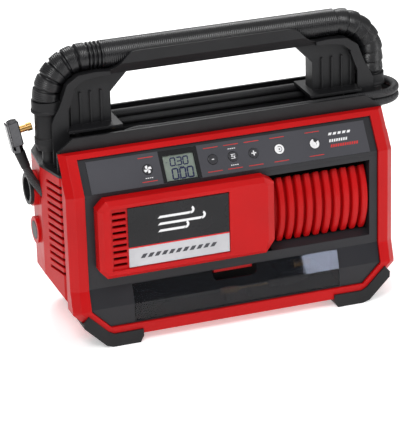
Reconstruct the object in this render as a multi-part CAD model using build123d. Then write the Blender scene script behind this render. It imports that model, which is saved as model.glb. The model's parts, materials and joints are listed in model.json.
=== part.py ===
from build123d import *
import math
import os

# A cordless air compressor with a carry handle, in millimetres. +Z is up, the
# control side faces -Y, and the origin is on the floor under the middle.

os.makedirs("parts", exist_ok=True)

# Front frame: the line its front follows from top to bottom, as (y, z).
FRAME_HALF = 178.0
FRAME_TOP = 203.0
FRAME_BOTTOM = 9.2
FRONT_Y = -69.5
TOE_Y = -76.3
FRONT_LINE = [(-44.6, FRAME_TOP), (FRONT_Y, 166.2), (FRONT_Y, 62.9), (TOE_Y, 42.4), (TOE_Y, FRAME_BOTTOM)]
FRAME_BACK = -50.0
FRAME_BEVEL = 7.6
FRAME_CORNER = 28.8
OPEN_HALF = 160.0
OPEN_TOP = 198.3
OPEN_BOTTOM = 21.0
OPEN_CORNER = 20.5

# Housing shells: half plan from the valley behind the frame to the back, as (x, y).
WALL = 3.0
HALF_PLAN = [(170, FRAME_BACK), (170, -47.5), (178, -41.5), (187, -1.5), (184, 40.5), (172, 62), (172, 66)]
BACK_Y = 66.0
SPLIT_Y = -1.5
BODY_LOW = 10.0
BODY_HIGH = 179.0
SIDE_FOOT = 155.0
SIDE_SLOPE = 32.0 / 49.0
SLOT_COUNT = 13
SLOT_PITCH = 7.9
SLOT_HIGH = 3.3
SLOT_FIRST = 72.0

# Black panels sit a little behind the frame's front facet.
PANEL_BACK = 2.5
PANEL_THICK = 3.0
PANEL_HALF = 159.7
PANEL_SPLIT = 162.3

# Control slope: a plane at the panel's nose, and positions on it.
SLOPE_TILT = math.atan2(FRONT_LINE[0][0] - FRONT_Y, FRAME_TOP - 166.2)
SLOPE_ORIGIN = (0, FRONT_Y + PANEL_BACK, 166.2)
SLOPE_NORMAL = (0, -math.cos(SLOPE_TILT), math.sin(SLOPE_TILT))
BUTTON_R = 5.2
BUTTON_GAP = 0.35
BUTTON_V = 17.2
BUTTON_X = {
    "fan_button": -89.1,
    "minus_button": -18.9,
    "unit_button": 3.1,
    "plus_button": 25.7,
    "tyre_button": 53.8,
    "raft_button": 92.9,
}
DISPLAY = (-71.5, -37.5, 0.5, 33.0)
FOIL_THICK = 0.5

# Nose cover and the barrel-shaped ribbed wall in the window beside it.
NOSE_FRONT = -83.5
NOSE_STEP = 4.0
NOSE_OUTLINE = [
    (-150.5, 86.5), (-150.5, 153), (-141.5, 162), (28.5, 162), (39, 155.5), (39, 90.5), (29.5, 77.5), (-142.5, 77.5),
]
NOSE_MIDDLE = (-51.4, 120.0)
NOSE_SHRINK = (0.965, 0.93)
NOSE_POCKET = (-138.0, -11.0, 86.5, 153.5)
NOSE_SLOTS = 9
WINDOW = (36.0, 150.7, 72.5, 157.0)
GRILLE_Y = -7.0
GRILLE_Z = 114.0
GRILLE_R = 62.0
GRILLE_HALF_ANGLE = 35.0
RIB_COUNT = 10
RIB_PITCH = 10.3
RIB_FIRST = 52.5

# Blower, on its side behind the ribs.
DRUM_Y = -24.0
DRUM_Z = 115.0
DRUM_R = 34.0
DRUM_LOW = 46.0
DRUM_HIGH = 149.0

# Accessory compartment and its hinged clear cover.
BAY_HALF = 113.5
BAY_LOW = 22.6
BAY_HIGH = 62.0
TUB_FLOOR = 22.8
SHELF = 45.0
NEEDLE_Z = 33.0
COVER_GAP = 0.3
COVER_PIN = (-72.3, 25.5)
PIN_R = 1.2

# Top tray.
TRAY_FLOOR = 182.0
CROWN_TOP = 217.0
CROWN_FRONT = -36.0
CROWN_REAR = 44.0
SHELF_TOP = 200.0

# Carry handle and the corrugated hose that it holds.
HOSE_R = 14.75
HOSE_WALL = 2.4
HOSE_Z = 289.4
CUFF_LEFT = -175.5
CUFF_RIGHT = 179.0
CUFF_LEFT_TOP = 250.0
CUFF_RIGHT_TOP = 230.0
BEND_R = HOSE_Z - CUFF_LEFT_TOP
GRIP_HALF = 18.5
GRIP_LOW = 272.0
GRIP_TOP = 294.6
WEB_HALF = 9.5
POST_IN = 110.5
FLANGE_TOP = 221.0

# High-pressure hose: wound twice round the handle posts, tail out of the left wall.
CORD_R = 4.25
COIL_LEFT = -128.0
COIL_RIGHT = 179.0
COIL_R = 28.5
COIL_LOW = 200.3
COIL_HIGH = 217.3
TAIL = [
    (-75, -28.5, 212.8), (-90, -26, 213), (-102, -19.8, 207), (-111, -19.6, 195), (-119, -19.8, 179),
    (-126, -19, 163), (-134, -16.5, 147), (-146, -12, 134), (-163, -6.5, 131), (-179, -1.5, 142),
    (-187.5, 2, 154), (-194.7, 7.1, 165.7), (-198.5, 8.5, 177),
]
CHUCK_BASE = (-204.0, 10.5, 193.5)
CHUCK_TOP = (-210.5, 11.5, 227.6)
CHUCK_R = 5.0
LEVER_PIVOT = 6.3

# Left side: blow port and power button, as (y, z).
PORT = (22.5, 147.0)
PORT_REACH = 195.5
PORT_R = 12.5
POWER = (22.5, 100.0)

# Battery pack in its pocket at the back.
POCKET = (42.0, 47.5, 26.0)
PACK_HALF = 41.5
PACK_BACK = 83.5
PACK_HIGH = 140.0

# Compressor drive: the motor below, the crank above it.
DRIVE_Y = -24.0
MOTOR_Z = 88.0
CRANK_Z = 118.0
CRANK_X = -33.5
CRANK_OFFSET = 4.0
PINION_TEETH = 12
GEAR_TEETH = 48
GEAR_MODULE = 1.0

FIT = 0.05

parts = {}


def block(x_low, x_high, y_low, y_high, z_low, z_high):
    """A box given by its low and high faces."""
    middle = Pos((x_low + x_high) / 2, (y_low + y_high) / 2, (z_low + z_high) / 2)
    return middle * Box(x_high - x_low, y_high - y_low, z_high - z_low)


def prism_x(points, x_low, x_high):
    """A (y, z) outline pulled along X."""
    outline = Polyline(*[(x_low, y, z) for y, z in points], close=True)
    return extrude(make_face(outline), amount=x_high - x_low, dir=(1, 0, 0))


def prism_y(points, y_low, y_high):
    """An (x, z) outline pulled along Y."""
    outline = Polyline(*[(x, y_low, z) for x, z in points], close=True)
    return extrude(make_face(outline), amount=y_high - y_low, dir=(0, 1, 0))


def prism_z(points, z_low, z_high):
    """An (x, y) outline pulled along Z."""
    outline = Polyline(*[(x, y, z_low) for x, y in points], close=True)
    return extrude(make_face(outline), amount=z_high - z_low, dir=(0, 0, 1))


def rod_x(radius, x_low, x_high, y, z):
    return Pos((x_low + x_high) / 2, y, z) * Rot(0, 90, 0) * Cylinder(radius, x_high - x_low)


def rod_y(radius, y_low, y_high, x, z):
    return Pos(x, (y_low + y_high) / 2, z) * Rot(90, 0, 0) * Cylinder(radius, y_high - y_low)


def rod_z(radius, z_low, z_high, x, y):
    return Pos(x, y, (z_low + z_high) / 2) * Cylinder(radius, z_high - z_low)


def mirrored(points):
    """A half outline on the +X side joined to its mirror image."""
    return points + [(-x, other) for x, other in reversed(points)]


def both_sides(shape):
    return shape + mirror(shape, about=Plane.YZ)


def line_y(z):
    """Depth of the frame's front line at height z."""
    for (y_up, z_up), (y_down, z_down) in zip(FRONT_LINE, FRONT_LINE[1:]):
        if z >= z_down:
            return y_down + (y_up - y_down) * (z - z_down) / (z_up - z_down)
    return TOE_Y


def front_slab(set_back, thick, z_low, z_high, x_low, x_high):
    """A plate that follows the front line between two heights."""
    heights = [z_high] + [z for _, z in FRONT_LINE if z_low < z < z_high] + [z_low]
    outer = [(line_y(z) + set_back, z) for z in heights]
    inner = [(y + thick, z) for y, z in reversed(outer)]
    return prism_x(outer + inner, x_low, x_high)


def corner_outline(half, low, high, corner):
    """A rectangle on the XZ plane with its two lower corners cut at 45 degrees."""
    return mirrored([(half - corner, low), (half, low + corner), (half, high)])


def slope_place(x, v, w=0.0):
    """A place on the control slope: across, up the slope, and out of it."""
    plane = Plane(origin=SLOPE_ORIGIN, x_dir=(1, 0, 0), z_dir=SLOPE_NORMAL)
    return plane.location * Pos(x, v, w)


def slope_block(x_low, x_high, v_low, v_high, w_low, w_high):
    box = Box(x_high - x_low, v_high - v_low, w_high - w_low)
    return slope_place((x_low + x_high) / 2, (v_low + v_high) / 2, (w_low + w_high) / 2) * box


def tube_along(points, radii, radius, hole=0.0):
    """A round tube on straight runs joined by tangent arcs."""
    path = FilletPolyline(*points, radius=radii)
    section = Plane(origin=path @ 0, z_dir=path % 0) * Circle(radius)
    if hole:
        section -= Plane(origin=path @ 0, z_dir=path % 0) * Circle(hole)
    return sweep(section, path=path), path


def arc_radii(points):
    """For each corner, 0.45 of its shorter run over the tangent of half its turn."""
    radii = []
    for before, here, after in zip(points, points[1:], points[2:]):
        run_in = Vector(*here) - Vector(*before)
        run_out = Vector(*after) - Vector(*here)
        half_turn = math.radians(run_in.get_angle(run_out) / 2)
        radii.append(0.45 * min(run_in.length, run_out.length) / math.tan(half_turn))
    return radii


def gear_outline(teeth, module, phase):
    """Straight-sided teeth with ample backlash, as (y, z) round the origin."""
    pitch_r = module * teeth / 2
    root, tip = pitch_r - 1.25 * module, pitch_r + 0.8 * module
    step = 2 * math.pi / teeth
    points = []
    for tooth in range(teeth):
        middle = phase + tooth * step
        for turn, radius in ((-0.26, root), (-0.11, tip), (0.11, tip), (0.26, root)):
            angle = middle + turn * step
            points.append((radius * math.cos(angle), radius * math.sin(angle)))
    return points


def gear_x(teeth, phase, x_low, x_high, y, z):
    outline = [(y + dy, z + dz) for dy, dz in gear_outline(teeth, GEAR_MODULE, phase)]
    return prism_x(outline, x_low, x_high)


# ---------------------------------------------------------------- housing


def body_solid(inset, low, high):
    """The housing's outer form, or its hollow when inset by the wall."""
    side_inset = inset * math.hypot(1, SIDE_SLOPE)
    plan = [(x - inset, min(y, BACK_Y - inset)) for x, y in HALF_PLAN]
    if inset:
        plan = [(plan[0][0], FRAME_BACK - 10)] + plan[1:]
    foot = SIDE_FOOT - side_inset + (low - BODY_LOW) * SIDE_SLOPE
    top_x = foot + (high - low) * SIDE_SLOPE
    section = mirrored([(foot, low), (top_x, high)])
    return prism_z(mirrored(plan), low, high) & prism_y(section, -70, 80)


def front_frame():
    back = [(FRAME_BACK, FRAME_BOTTOM), (FRAME_BACK, 182.7), (CROWN_FRONT - 0.3, FRAME_TOP)]
    frame = prism_x(FRONT_LINE + back, -FRAME_HALF, FRAME_HALF)
    outline = corner_outline(FRAME_HALF, FRAME_BOTTOM, FRAME_TOP, FRAME_CORNER)
    frame &= prism_y(outline, -90, -20)
    rim = [edge for edge in frame.edges() if on_front_rim(edge)]
    frame = chamfer(rim, FRAME_BEVEL)
    opening = corner_outline(OPEN_HALF, OPEN_BOTTOM, OPEN_TOP, OPEN_CORNER)
    return frame - prism_y(opening, -90, -20)


def on_front_rim(edge):
    """True for the outer front edges on both sides and round the lower corners."""
    middle = edge.center()
    on_front = abs(middle.Y - line_y(middle.Z)) < 0.05
    on_side = abs(abs(middle.X) - FRAME_HALF) < 0.05
    diagonal = abs(middle.X) - (middle.Z - FRAME_BOTTOM) - (FRAME_HALF - FRAME_CORNER)
    on_corner = abs(diagonal) < 0.05 and middle.Z > FRAME_BOTTOM + 1
    return on_front and (on_side or on_corner)


def housing_shell():
    return body_solid(0, BODY_LOW, BODY_HIGH) - body_solid(WALL, BODY_LOW + WALL, BODY_HIGH + 1)


def front_housing(cord_hole):
    shell = housing_shell() & block(-200, 200, -60, SPLIT_Y, 0, 200)
    for slot in range(SLOT_COUNT):
        z = SLOT_FIRST + slot * SLOT_PITCH
        for side in (-1, 1):
            low, high = sorted((side * 160, side * 195))
            shell -= block(low, high, -47.3, -14.5, z, z + SLOT_HIGH)
    return shell - cord_hole


def rear_housing(cord_hole):
    half, front, low = POCKET
    shell = housing_shell() & block(-200, 200, SPLIT_Y, 90, 0, 200)
    shell += block(-half - WALL, half + WALL, front - WALL, BACK_Y, low - WALL, BODY_HIGH)
    shell -= block(-half, half, front, BACK_Y + 5, low, BODY_HIGH + 5)
    for side in (-1, 1):
        x_low, x_high = sorted((side * (half - 4), side * half))
        shell += block(x_low, x_high, 52, 55, low + 4, 120)
    for (y, z), collar, reach, bore in ((PORT, 18.5, 192, 16.9), (POWER, 14.25, 189.5, 10.0)):
        shell += rod_x(collar, -reach, -182.5, y, z)
        shell -= rod_x(bore, -210, -170, y, z)
    return shell - cord_hole


def foot_front(side):
    """Rubber corner that wraps the frame's lower corner and stands on the floor."""
    outline = [
        (106, 7), (110, 0), (139, 0), (146.4, 2.5), (169.4, 25.4), (169.6, 31.5), (164, 37.9), (143.3, 17.3),
        (137.3, 14.2), (106.3, 14.4),
    ]
    outline = [(side * x, z) for x, z in outline]
    foot = prism_y(outline, TOE_Y - 2.2, -44)
    frame_core = prism_x(FRONT_LINE + [(-40, FRAME_BOTTOM), (-40, FRAME_TOP)], -FRAME_HALF, FRAME_HALF)
    corner = corner_outline(FRAME_HALF, FRAME_BOTTOM, FRAME_TOP, FRAME_CORNER)
    return foot - (frame_core & prism_y(corner, -90, -20)) - body_solid(0, BODY_LOW, BODY_HIGH)


def feet_rear():
    foot = block(108, 144, 36, 62, 0, BODY_LOW)
    foot = chamfer(foot.faces().sort_by(Axis.Z)[0].edges(), 2.0)
    return Compound(children=[foot, mirror(foot, about=Plane.YZ)])


def screws():
    """Heads on the back of the housing and on the back of the handle posts."""
    heads = [rod_y(3.6, BACK_Y, BACK_Y + 1.8, x, z) for x in (-150, 150) for z in (32, 165)]
    heads += [rod_y(3.6, BACK_Y, BACK_Y + 1.8, x, z) for x in (-70, 70) for z in (20, 165)]
    heads += [rod_y(3.2, WEB_HALF, WEB_HALF + 1.8, x, 240) for x in (-136.5, -126.5, 126.5, 136.5)]
    tops = [head.bounding_box().max.Y for head in heads]
    sockets = [
        rod_y(1.5, top - 1.0, top + 1, head.center().X, head.center().Z) for head, top in zip(heads, tops)
    ]
    return Compound(children=[head - socket for head, socket in zip(heads, sockets)])


# ---------------------------------------------------------------- front


def front_panel():
    panel = front_slab(PANEL_BACK, PANEL_THICK, OPEN_BOTTOM + 0.3, PANEL_SPLIT, -PANEL_HALF, PANEL_HALF)
    inside = corner_outline(PANEL_HALF, OPEN_BOTTOM + 0.3, OPEN_TOP, OPEN_CORNER)
    panel &= prism_y(inside, -90, -20)
    x_low, x_high, z_low, z_high = WINDOW
    sill = [(-66.5, z_low - 1.5), (-66.5, z_low), (-55.5, 77.5), (-50, 77.5), (-50, 75), (-63, z_low - 1.5)]
    panel -= block(x_low, x_high, -90, -50, z_low, z_high)
    panel += prism_x(sill, 41, x_high)
    panel += block(x_high, x_high + 2, -66.5, -50, z_low - 1.5, z_high)
    panel -= prism_y(NOSE_OUTLINE, -90, -50)
    panel -= block(-BAY_HALF, BAY_HALF, -90, -50, BAY_LOW, BAY_HIGH)
    y, z = COVER_PIN
    return panel - both_sides(rod_x(PIN_R + FIT, BAY_HALF - 0.2, BAY_HALF + 3, y, z))


def control_panel():
    line = [(line_y(z) + PANEL_BACK, z) for z in (OPEN_TOP - 0.3, 166.2, PANEL_SPLIT)]
    inner = [(line[2][0] + 4, PANEL_SPLIT), (line[1][0] + 4, 165.0), (line[0][0] + 4.8, OPEN_TOP - 0.3)]
    panel = prism_x(line + inner, -PANEL_HALF, PANEL_HALF)
    for x in BUTTON_X.values():
        panel -= slope_place(x, BUTTON_V) * Cylinder(BUTTON_R + BUTTON_GAP, 30)
    x_low, x_high, v_low, v_high = DISPLAY
    return panel - slope_block(x_low, x_high, v_low, v_high, -20, 20)


def control_foil():
    foil = slope_block(-151.5, 151.5, 0.2, 34.2, 0, FOIL_THICK)
    for x in BUTTON_X.values():
        foil -= slope_place(x, BUTTON_V) * Cylinder(BUTTON_R + BUTTON_GAP, 10)
    x_low, x_high, v_low, v_high = DISPLAY
    return foil - slope_block(x_low, x_high, v_low, v_high, -5, 5)


def button(x):
    """A round key with a stem that reaches back to the board."""
    cap = slope_place(x, BUTTON_V, -1.1) * Cylinder(BUTTON_R, 4.6)
    cap = fillet(cap.edges().filter_by(GeomType.CIRCLE).sort_by(Axis.Z)[-1], 0.6)
    return cap + slope_place(x, BUTTON_V, -7.3) * Cylinder(2.0, 8.2)


def display_lens():
    x_low, x_high, v_low, v_high = DISPLAY
    return slope_block(x_low + 0.1, x_high - 0.1, v_low + 0.1, v_high - 0.1, -0.8, 0.6)


def display_module():
    x_low, x_high, v_low, v_high = DISPLAY
    return slope_block(x_low + 0.6, x_high - 0.6, v_low + 0.6, v_high - 0.6, -3.4, -1.0)


def main_board():
    board = slope_block(-140, 140, -2, 22, -14, -12.4)
    chips = slope_block(-30, -10, 2, 14, -16.5, -14) + slope_block(60, 72, 2, 14, -18, -14)
    return board + chips


def nose_cover():
    base = prism_y(NOSE_OUTLINE, NOSE_FRONT + NOSE_STEP, -64)
    nose = base + nose_crown()
    (mid_x, mid_z), (shrink_x, shrink_z) = NOSE_MIDDLE, NOSE_SHRINK
    hollow = [(mid_x + (x - mid_x) * shrink_x, mid_z + (z - mid_z) * shrink_z) for x, z in NOSE_OUTLINE]
    nose -= prism_y(hollow, -78, -60)
    x_low, x_high, z_low, z_high = NOSE_POCKET
    nose -= block(x_low, x_high, NOSE_FRONT - 5, NOSE_FRONT + 2.2, z_low, z_high)
    pitch = (z_high - z_low - 4) / NOSE_SLOTS
    for slot in range(NOSE_SLOTS):
        z = z_low + 3.6 + slot * pitch
        nose -= block(x_low + 2, x_low + 16.5, -90, -60, z, z + 3.2)
    return nose


def nose_crown():
    """The raised front of the nose: the outline drawn in by the step, with a long right bevel."""
    foot_y = NOSE_FRONT + NOSE_STEP
    low = Plane(origin=(0, foot_y, 0), x_dir=(1, 0, 0), z_dir=(0, -1, 0))
    high = Plane(origin=(0, NOSE_FRONT, 0), x_dir=(1, 0, 0), z_dir=(0, -1, 0))
    inner = [
        (-146.0, 88.5), (-146.0, 151), (-139.5, 157.5), (27.5, 157.5), (31, 153), (31, 93), (27.5, 82), (-140.5, 82),
    ]
    lower = low * make_face(Polyline(*[(x, z) for x, z in NOSE_OUTLINE], close=True))
    upper = high * make_face(Polyline(*inner, close=True))
    return loft([lower.faces()[0], upper.faces()[0]], ruled=True)


def face_plate():
    x_low, x_high, z_low, z_high = NOSE_POCKET
    return block(x_low + 18.2, x_high - 0.6, NOSE_FRONT + 1.0, NOSE_FRONT + 2.2, z_low + 1.0, z_high - 1.5)


def rib_grille():
    """A barrel-shaped wall of upright ribs that fills the window."""
    wall, root, shoulder = GRILLE_R - 9.0, GRILLE_R - 7.0, GRILLE_R - 1.2
    low, high = RIB_FIRST - 10, RIB_FIRST + (RIB_COUNT - 1) * RIB_PITCH + 4.5
    outline = [(low, wall), (low, root)]
    for rib in range(RIB_COUNT):
        x = RIB_FIRST + rib * RIB_PITCH
        outline += [(x - 3.7, root), (x - 3.3, shoulder), (x - 2.0, GRILLE_R), (x + 2.0, GRILLE_R)]
        outline += [(x + 3.3, shoulder), (x + 3.7, root)]
    outline += [(high, root), (high, wall)]
    section = make_face(Polyline(*[(x, GRILLE_Y, GRILLE_Z + r) for x, r in outline], close=True))
    barrel = revolve(section, Axis((0, GRILLE_Y, GRILLE_Z), (1, 0, 0)), 2 * GRILLE_HALF_ANGLE)
    return barrel.rotate(Axis((0, GRILLE_Y, GRILLE_Z), (1, 0, 0)), 90 - GRILLE_HALF_ANGLE)


def blower_housing():
    """A plain drum on its side, with an inlet at its outer end and an outlet at its inner end."""
    shell = rod_x(DRUM_R, DRUM_LOW, DRUM_HIGH, DRUM_Y, DRUM_Z)
    shell -= rod_x(DRUM_R - 2, DRUM_LOW + 2.5, DRUM_HIGH - 2.5, DRUM_Y, DRUM_Z)
    shell -= rod_x(14, DRUM_LOW - 1, DRUM_LOW + 4, DRUM_Y, DRUM_Z)
    return shell - rod_x(12, DRUM_HIGH - 4, DRUM_HIGH + 1, DRUM_Y, DRUM_Z)


def blower_motor():
    can = rod_x(20, 62, 100, DRUM_Y, DRUM_Z) + rod_x(7, 100, 104, DRUM_Y, DRUM_Z)
    for turn in range(3):
        arm = block(78, 84, DRUM_Y - 2, DRUM_Y + 2, DRUM_Z + 19, DRUM_Z + DRUM_R - 2.1)
        can += arm.rotate(Axis((0, DRUM_Y, DRUM_Z), (1, 0, 0)), 120 * turn)
    return can - rod_x(2.5 + FIT, 60, 106, DRUM_Y, DRUM_Z)


def blower_impeller():
    wheel = rod_x(28, 112, 114, DRUM_Y, DRUM_Z) + rod_x(8, 112, 126, DRUM_Y, DRUM_Z)
    wheel += rod_x(2.5, 66, 140, DRUM_Y, DRUM_Z)
    for blade in range(9):
        vane = block(113, 126, DRUM_Y - 0.8, DRUM_Y + 0.8, DRUM_Z + 7, DRUM_Z + 27.5)
        wheel += vane.rotate(Axis((0, DRUM_Y, DRUM_Z), (1, 0, 0)), 40 * blade)
    return wheel


def duct_plenum():
    """Box that turns the blower's air into the duct to the left side."""
    low = DRUM_LOW
    y, z = PORT
    box = block(low - 16, low, -46, 38, 96, 162) - block(low - 14, low - 2, -44, 36, 98, 160)
    return box - rod_x(14, low - 3, low + 1, DRUM_Y, DRUM_Z) - rod_x(PORT_R, low - 17, low - 13, y, z)


def air_duct():
    y, z = PORT
    return rod_x(13.5, -181, DRUM_LOW - 16, y, z) - rod_x(11.8, -182, DRUM_LOW - 15, y, z)


def blow_port():
    y, z = PORT
    ring = rod_x(16.7, -PORT_REACH, -181, y, z)
    return ring - rod_x(PORT_R, -PORT_REACH - 1, -180, y, z)


def power_button():
    y, z = POWER
    return rod_x(9.6, -189.8, -184, y, z) + rod_x(4, -184, -172, y, z)


# ---------------------------------------------------------------- accessory bay


def compartment_tub():
    back = line_y(62.9) + PANEL_BACK + PANEL_THICK
    toe = TOE_Y + PANEL_BACK + PANEL_THICK
    outer = [(toe, 21.3), (toe, 42.4), (back, 62.9), (back, 66), (-38, 66), (-38, 21.3)]
    tub = prism_x(outer, -BAY_HALF - 5, BAY_HALF + 5)
    tub -= block(-BAY_HALF - 3, BAY_HALF + 3, -76, -40, TUB_FLOOR, 64)
    tub += block(50, 96, -66, -40, SHELF - 1.5, SHELF)
    for x, rest in ((-10, NEEDLE_Z - 4), (14, NEEDLE_Z - 1.3)):
        tub += block(x, x + 4, -64, -56, TUB_FLOOR, rest)
    return tub


def cover_latch():
    """Red tongue behind the finger notch, which the closed cover clips under."""
    side = [(-63.5, 57.5), (-60.0, 55.5), (-50, 57.5), (-50, 64), (-63.5, 64)]
    return prism_x(side, -23, 19)


def compartment_cover():
    half = BAY_HALF - COVER_GAP
    cover = front_slab(PANEL_BACK, 2.0, BAY_LOW + 1.0, BAY_HIGH - COVER_GAP, -half, half)
    cover -= prism_y([(-26, 70), (-26, 55), (-22.5, 51), (19, 51), (22.5, 55), (22.5, 70)], -90, -50)
    y, z = COVER_PIN
    return cover + both_sides(rod_x(PIN_R, half - 3, half + 2.8, y, z))


def lathe_x(steps, x, y, z):
    """A turned piece lying along X: steps are (length, start radius, end radius)."""
    outline = [(x, 0.0)]
    place = x
    for length, start, end in steps:
        if outline[-1] != (place, start):
            outline.append((place, start))
        place += length
        outline.append((place, end))
    outline.append((place, 0.0))
    face = make_face(Polyline(*[(px, y, z + r) for px, r in outline], close=True))
    return revolve(face, Axis((0, y, z), (1, 0, 0)))


def adapters():
    """The four screw-on tips that are stored behind the clear cover."""
    return {
        "cone_nozzle": lathe_x(
            [(14, 11.6, 11.6), (13, 11.4, 5), (24, 4.8, 4.2), (3, 4.2, 2.6), (10, 2.5, 2.2)], -104, -56, TUB_FLOOR + 11.6
        ),
        "taper_nozzle": lathe_x(
            [(10, 4, 4), (2, 5, 5), (2, 3.6, 3.6), (22, 5, 4.2), (6, 4.1, 2.6)], 44, -50, TUB_FLOOR + 5
        ),
        "ball_needle": lathe_x(
            [(16, 4, 4), (4, 3.8, 1.6), (30, 1.3, 1.3), (1.5, 1.3, 0.7)], -14, -60, NEEDLE_Z
        ),
        "valve_adapter": lathe_x([(7, 5.2, 5.2), (2, 3.6, 3.6), (9, 4, 4)], 66, -59, SHELF + 5.2),
    }


# ---------------------------------------------------------------- top


def top_tray(cord_hole):
    half_plan = HALF_PLAN[1:]
    floor = prism_z(mirrored(half_plan), BODY_HIGH, TRAY_FLOOR)
    crown = mirrored([(177, BODY_HIGH), (177, 203.5), (160, CROWN_TOP)])
    tray = floor + prism_y(crown, CROWN_FRONT, CROWN_FRONT + 3) + prism_y(crown, CROWN_REAR, CROWN_REAR + 3)
    tray += block(-158, 158, CROWN_FRONT + 3, -20, SHELF_TOP - 3, SHELF_TOP)
    tray += block(-158, 158, -22, -20, TRAY_FLOOR, SHELF_TOP)
    tray += block(-158, 158, 20, CROWN_REAR, SHELF_TOP - 3, SHELF_TOP)
    tray += block(-158, 158, 20, 22, TRAY_FLOOR, SHELF_TOP)
    tray -= block(-150, -70, CROWN_FRONT + 3, -14, TRAY_FLOOR, SHELF_TOP + 1)
    half, front, _ = POCKET
    tray -= block(-half, half, front, BACK_Y + 5, BODY_HIGH - 1, TRAY_FLOOR + 1)
    tray -= rod_z(6, 170, 210, -100, COIL_R)
    for x in (CUFF_LEFT, CUFF_RIGHT):
        tray += rod_z(7, TRAY_FLOOR, 214, x, 0)
    return tray - cord_hole


def hose_path():
    """Centre line of the corrugated hose: up from one cuff, along the grip, down to the other."""
    ends = [
        (CUFF_LEFT, 0, CUFF_LEFT_TOP), (CUFF_LEFT, 0, HOSE_Z), (CUFF_RIGHT, 0, HOSE_Z),
        (CUFF_RIGHT, 0, CUFF_RIGHT_TOP),
    ]
    return ends, [BEND_R - 0.01, BEND_R]


def air_hose():
    points, radii = hose_path()
    hose, _ = tube_along(points, radii, HOSE_R, HOSE_R - HOSE_WALL)
    return hose


def hose_cuff(x, top, low):
    """A soft cuff: wide mouth with a bead, slimmer neck, collar and tapered tip."""
    neck_top = top - 12
    outline = [
        (7.4, low), (11.5, low), (14.2, low + 7), (14.2, low + 13), (13.1, low + 14), (13.1, neck_top - 2),
        (16.4, neck_top), (16.4, neck_top + 2), (15.6, neck_top + 3), (15.6, top), (7.4, top),
    ]
    face = make_face(Polyline(*[(x + r, 0, z) for r, z in outline], close=True))
    return revolve(face, Axis((x, 0, 0), (0, 0, 1)))


def carry_handle(hose_room):
    s_curve = [(84, GRIP_TOP), (88.5, 293.6), (93.5, 290), (102, 281.5), (107, 278.2), (112, 276.9)]
    silhouette = mirrored([(112, GRIP_LOW)] + list(reversed(s_curve)))
    grip_section = [
        (-GRIP_HALF, GRIP_TOP), (-GRIP_HALF, 283), (-12.5, GRIP_LOW), (12.5, GRIP_LOW), (GRIP_HALF, 283),
        (GRIP_HALF, GRIP_TOP),
    ]
    grip = prism_x(grip_section, -112, 112) & prism_y(silhouette, -30, 30)
    rim = [(112, 276.9), (128, 278), (146, 276.5), (158.5, 268), (164.5, 252)]
    band = rim + [(157, 251), (151.5, 262), (142, 269.5), (128, 272.4), (112, 272.4)]
    web = [(POST_IN, FLANGE_TOP - 1), (POST_IN, 252), (91.5, GRIP_LOW), (91.5, 275), (128, 275), (142, 271)]
    web += [(152.5, 263.5), (158.5, 251), (158.5, FLANGE_TOP - 1)]
    wing = [(158, TRAY_FLOOR), (176, TRAY_FLOOR), (176, 229), (173, 236), (168, 244), (164.5, 252), (158.5, 265)]
    wing += [(150, 262), (154, 250), (158, 240)]
    half = prism_y(band, -GRIP_HALF, GRIP_HALF) + prism_y(web, -WEB_HALF, WEB_HALF)
    half += prism_y(wing, -GRIP_HALF, -16.3) + prism_y(wing, 16.3, GRIP_HALF)
    half += block(103, 160, -25, 25, FLANGE_TOP - 3, FLANGE_TOP)
    half += block(112, 143, -15, 15, TRAY_FLOOR, FLANGE_TOP - 3)
    for x in (120, 131, 142, 152):
        half += block(x, x + 2, -WEB_HALF - 2.5, WEB_HALF + 2.5, FLANGE_TOP - 1, 256)
    return grip + both_sides(half) - hose_room


def coil_solid(cord_hole):
    """Both turns of the wound hose as one racetrack round the posts."""
    outer, inner = COIL_R + CORD_R, COIL_R - CORD_R
    middle = (COIL_LEFT + COIL_RIGHT) / 2
    span = COIL_RIGHT - COIL_LEFT
    ring = SlotCenterToCenter(span, 2 * outer) - SlotCenterToCenter(span, 2 * inner)
    coil = Pos(middle, 0, COIL_LOW) * extrude(ring, amount=COIL_HIGH - COIL_LOW)
    coil = fillet(coil.edges().filter_by(lambda edge: abs(edge.length) > 20), 3.9)
    coil -= block(-107, -94, 20, 40, 199, 209.2)
    coil -= block(-170, TAIL[0][0], -40, 0, COIL_LOW + 2 * CORD_R, COIL_HIGH + 1)
    return coil - (cord_hole & block(-130, TAIL[0][0], -40, 0, 190, 220))


def hose_outlet():
    """Brass elbow that the wound hose starts from."""
    return rod_z(5, 178, 208.6, -100, COIL_R) + rod_x(CORD_R, -100, -94, COIL_R, COIL_LOW + CORD_R)


def chuck_place(low, high):
    """A place at low whose Z axis points at high."""
    direction = Vector(*high) - Vector(*low)
    return Plane(origin=low, x_dir=(0, 1, 0), z_dir=direction).location, direction.length


def strain_relief():
    place, length = chuck_place(TAIL[-1], CHUCK_BASE)
    sleeve = Pos(0, 0, length / 2) * Cone(CORD_R + 0.6, CORD_R + 1.4, length)
    return place * sleeve


def chuck_body():
    place, length = chuck_place(CHUCK_BASE, CHUCK_TOP)
    body = Pos(0, 0, length / 2 + 0.2) * Cylinder(CHUCK_R, length - 0.4)
    head = Pos(0, -0.5, length * 0.6) * Box(11, 11, length * 0.78)
    body += chamfer(head.edges(), 1.2)
    eye = Pos(0, 0, length * 0.3) * Rot(90, 0, 0) * Cylinder(1.6, 40)
    return place * (body - eye) - strain_relief()


def chuck_nipple():
    place, length = chuck_place(CHUCK_BASE, CHUCK_TOP)
    stem = Pos(0, -9.5, length * 0.66) * Rot(90, 0, 0) * Cylinder(3.6, 9)
    stem += Pos(0, -16.5, length * 0.66) * Rot(90, 0, 0) * Cylinder(4.4, 5)
    clear = Pos(0, 0, length / 2 + 0.2) * Cylinder(CHUCK_R, length)
    clear += Pos(0, -0.5, length * 0.6) * Box(11, 11, length * 0.78)
    return place * (stem - clear)


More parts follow.
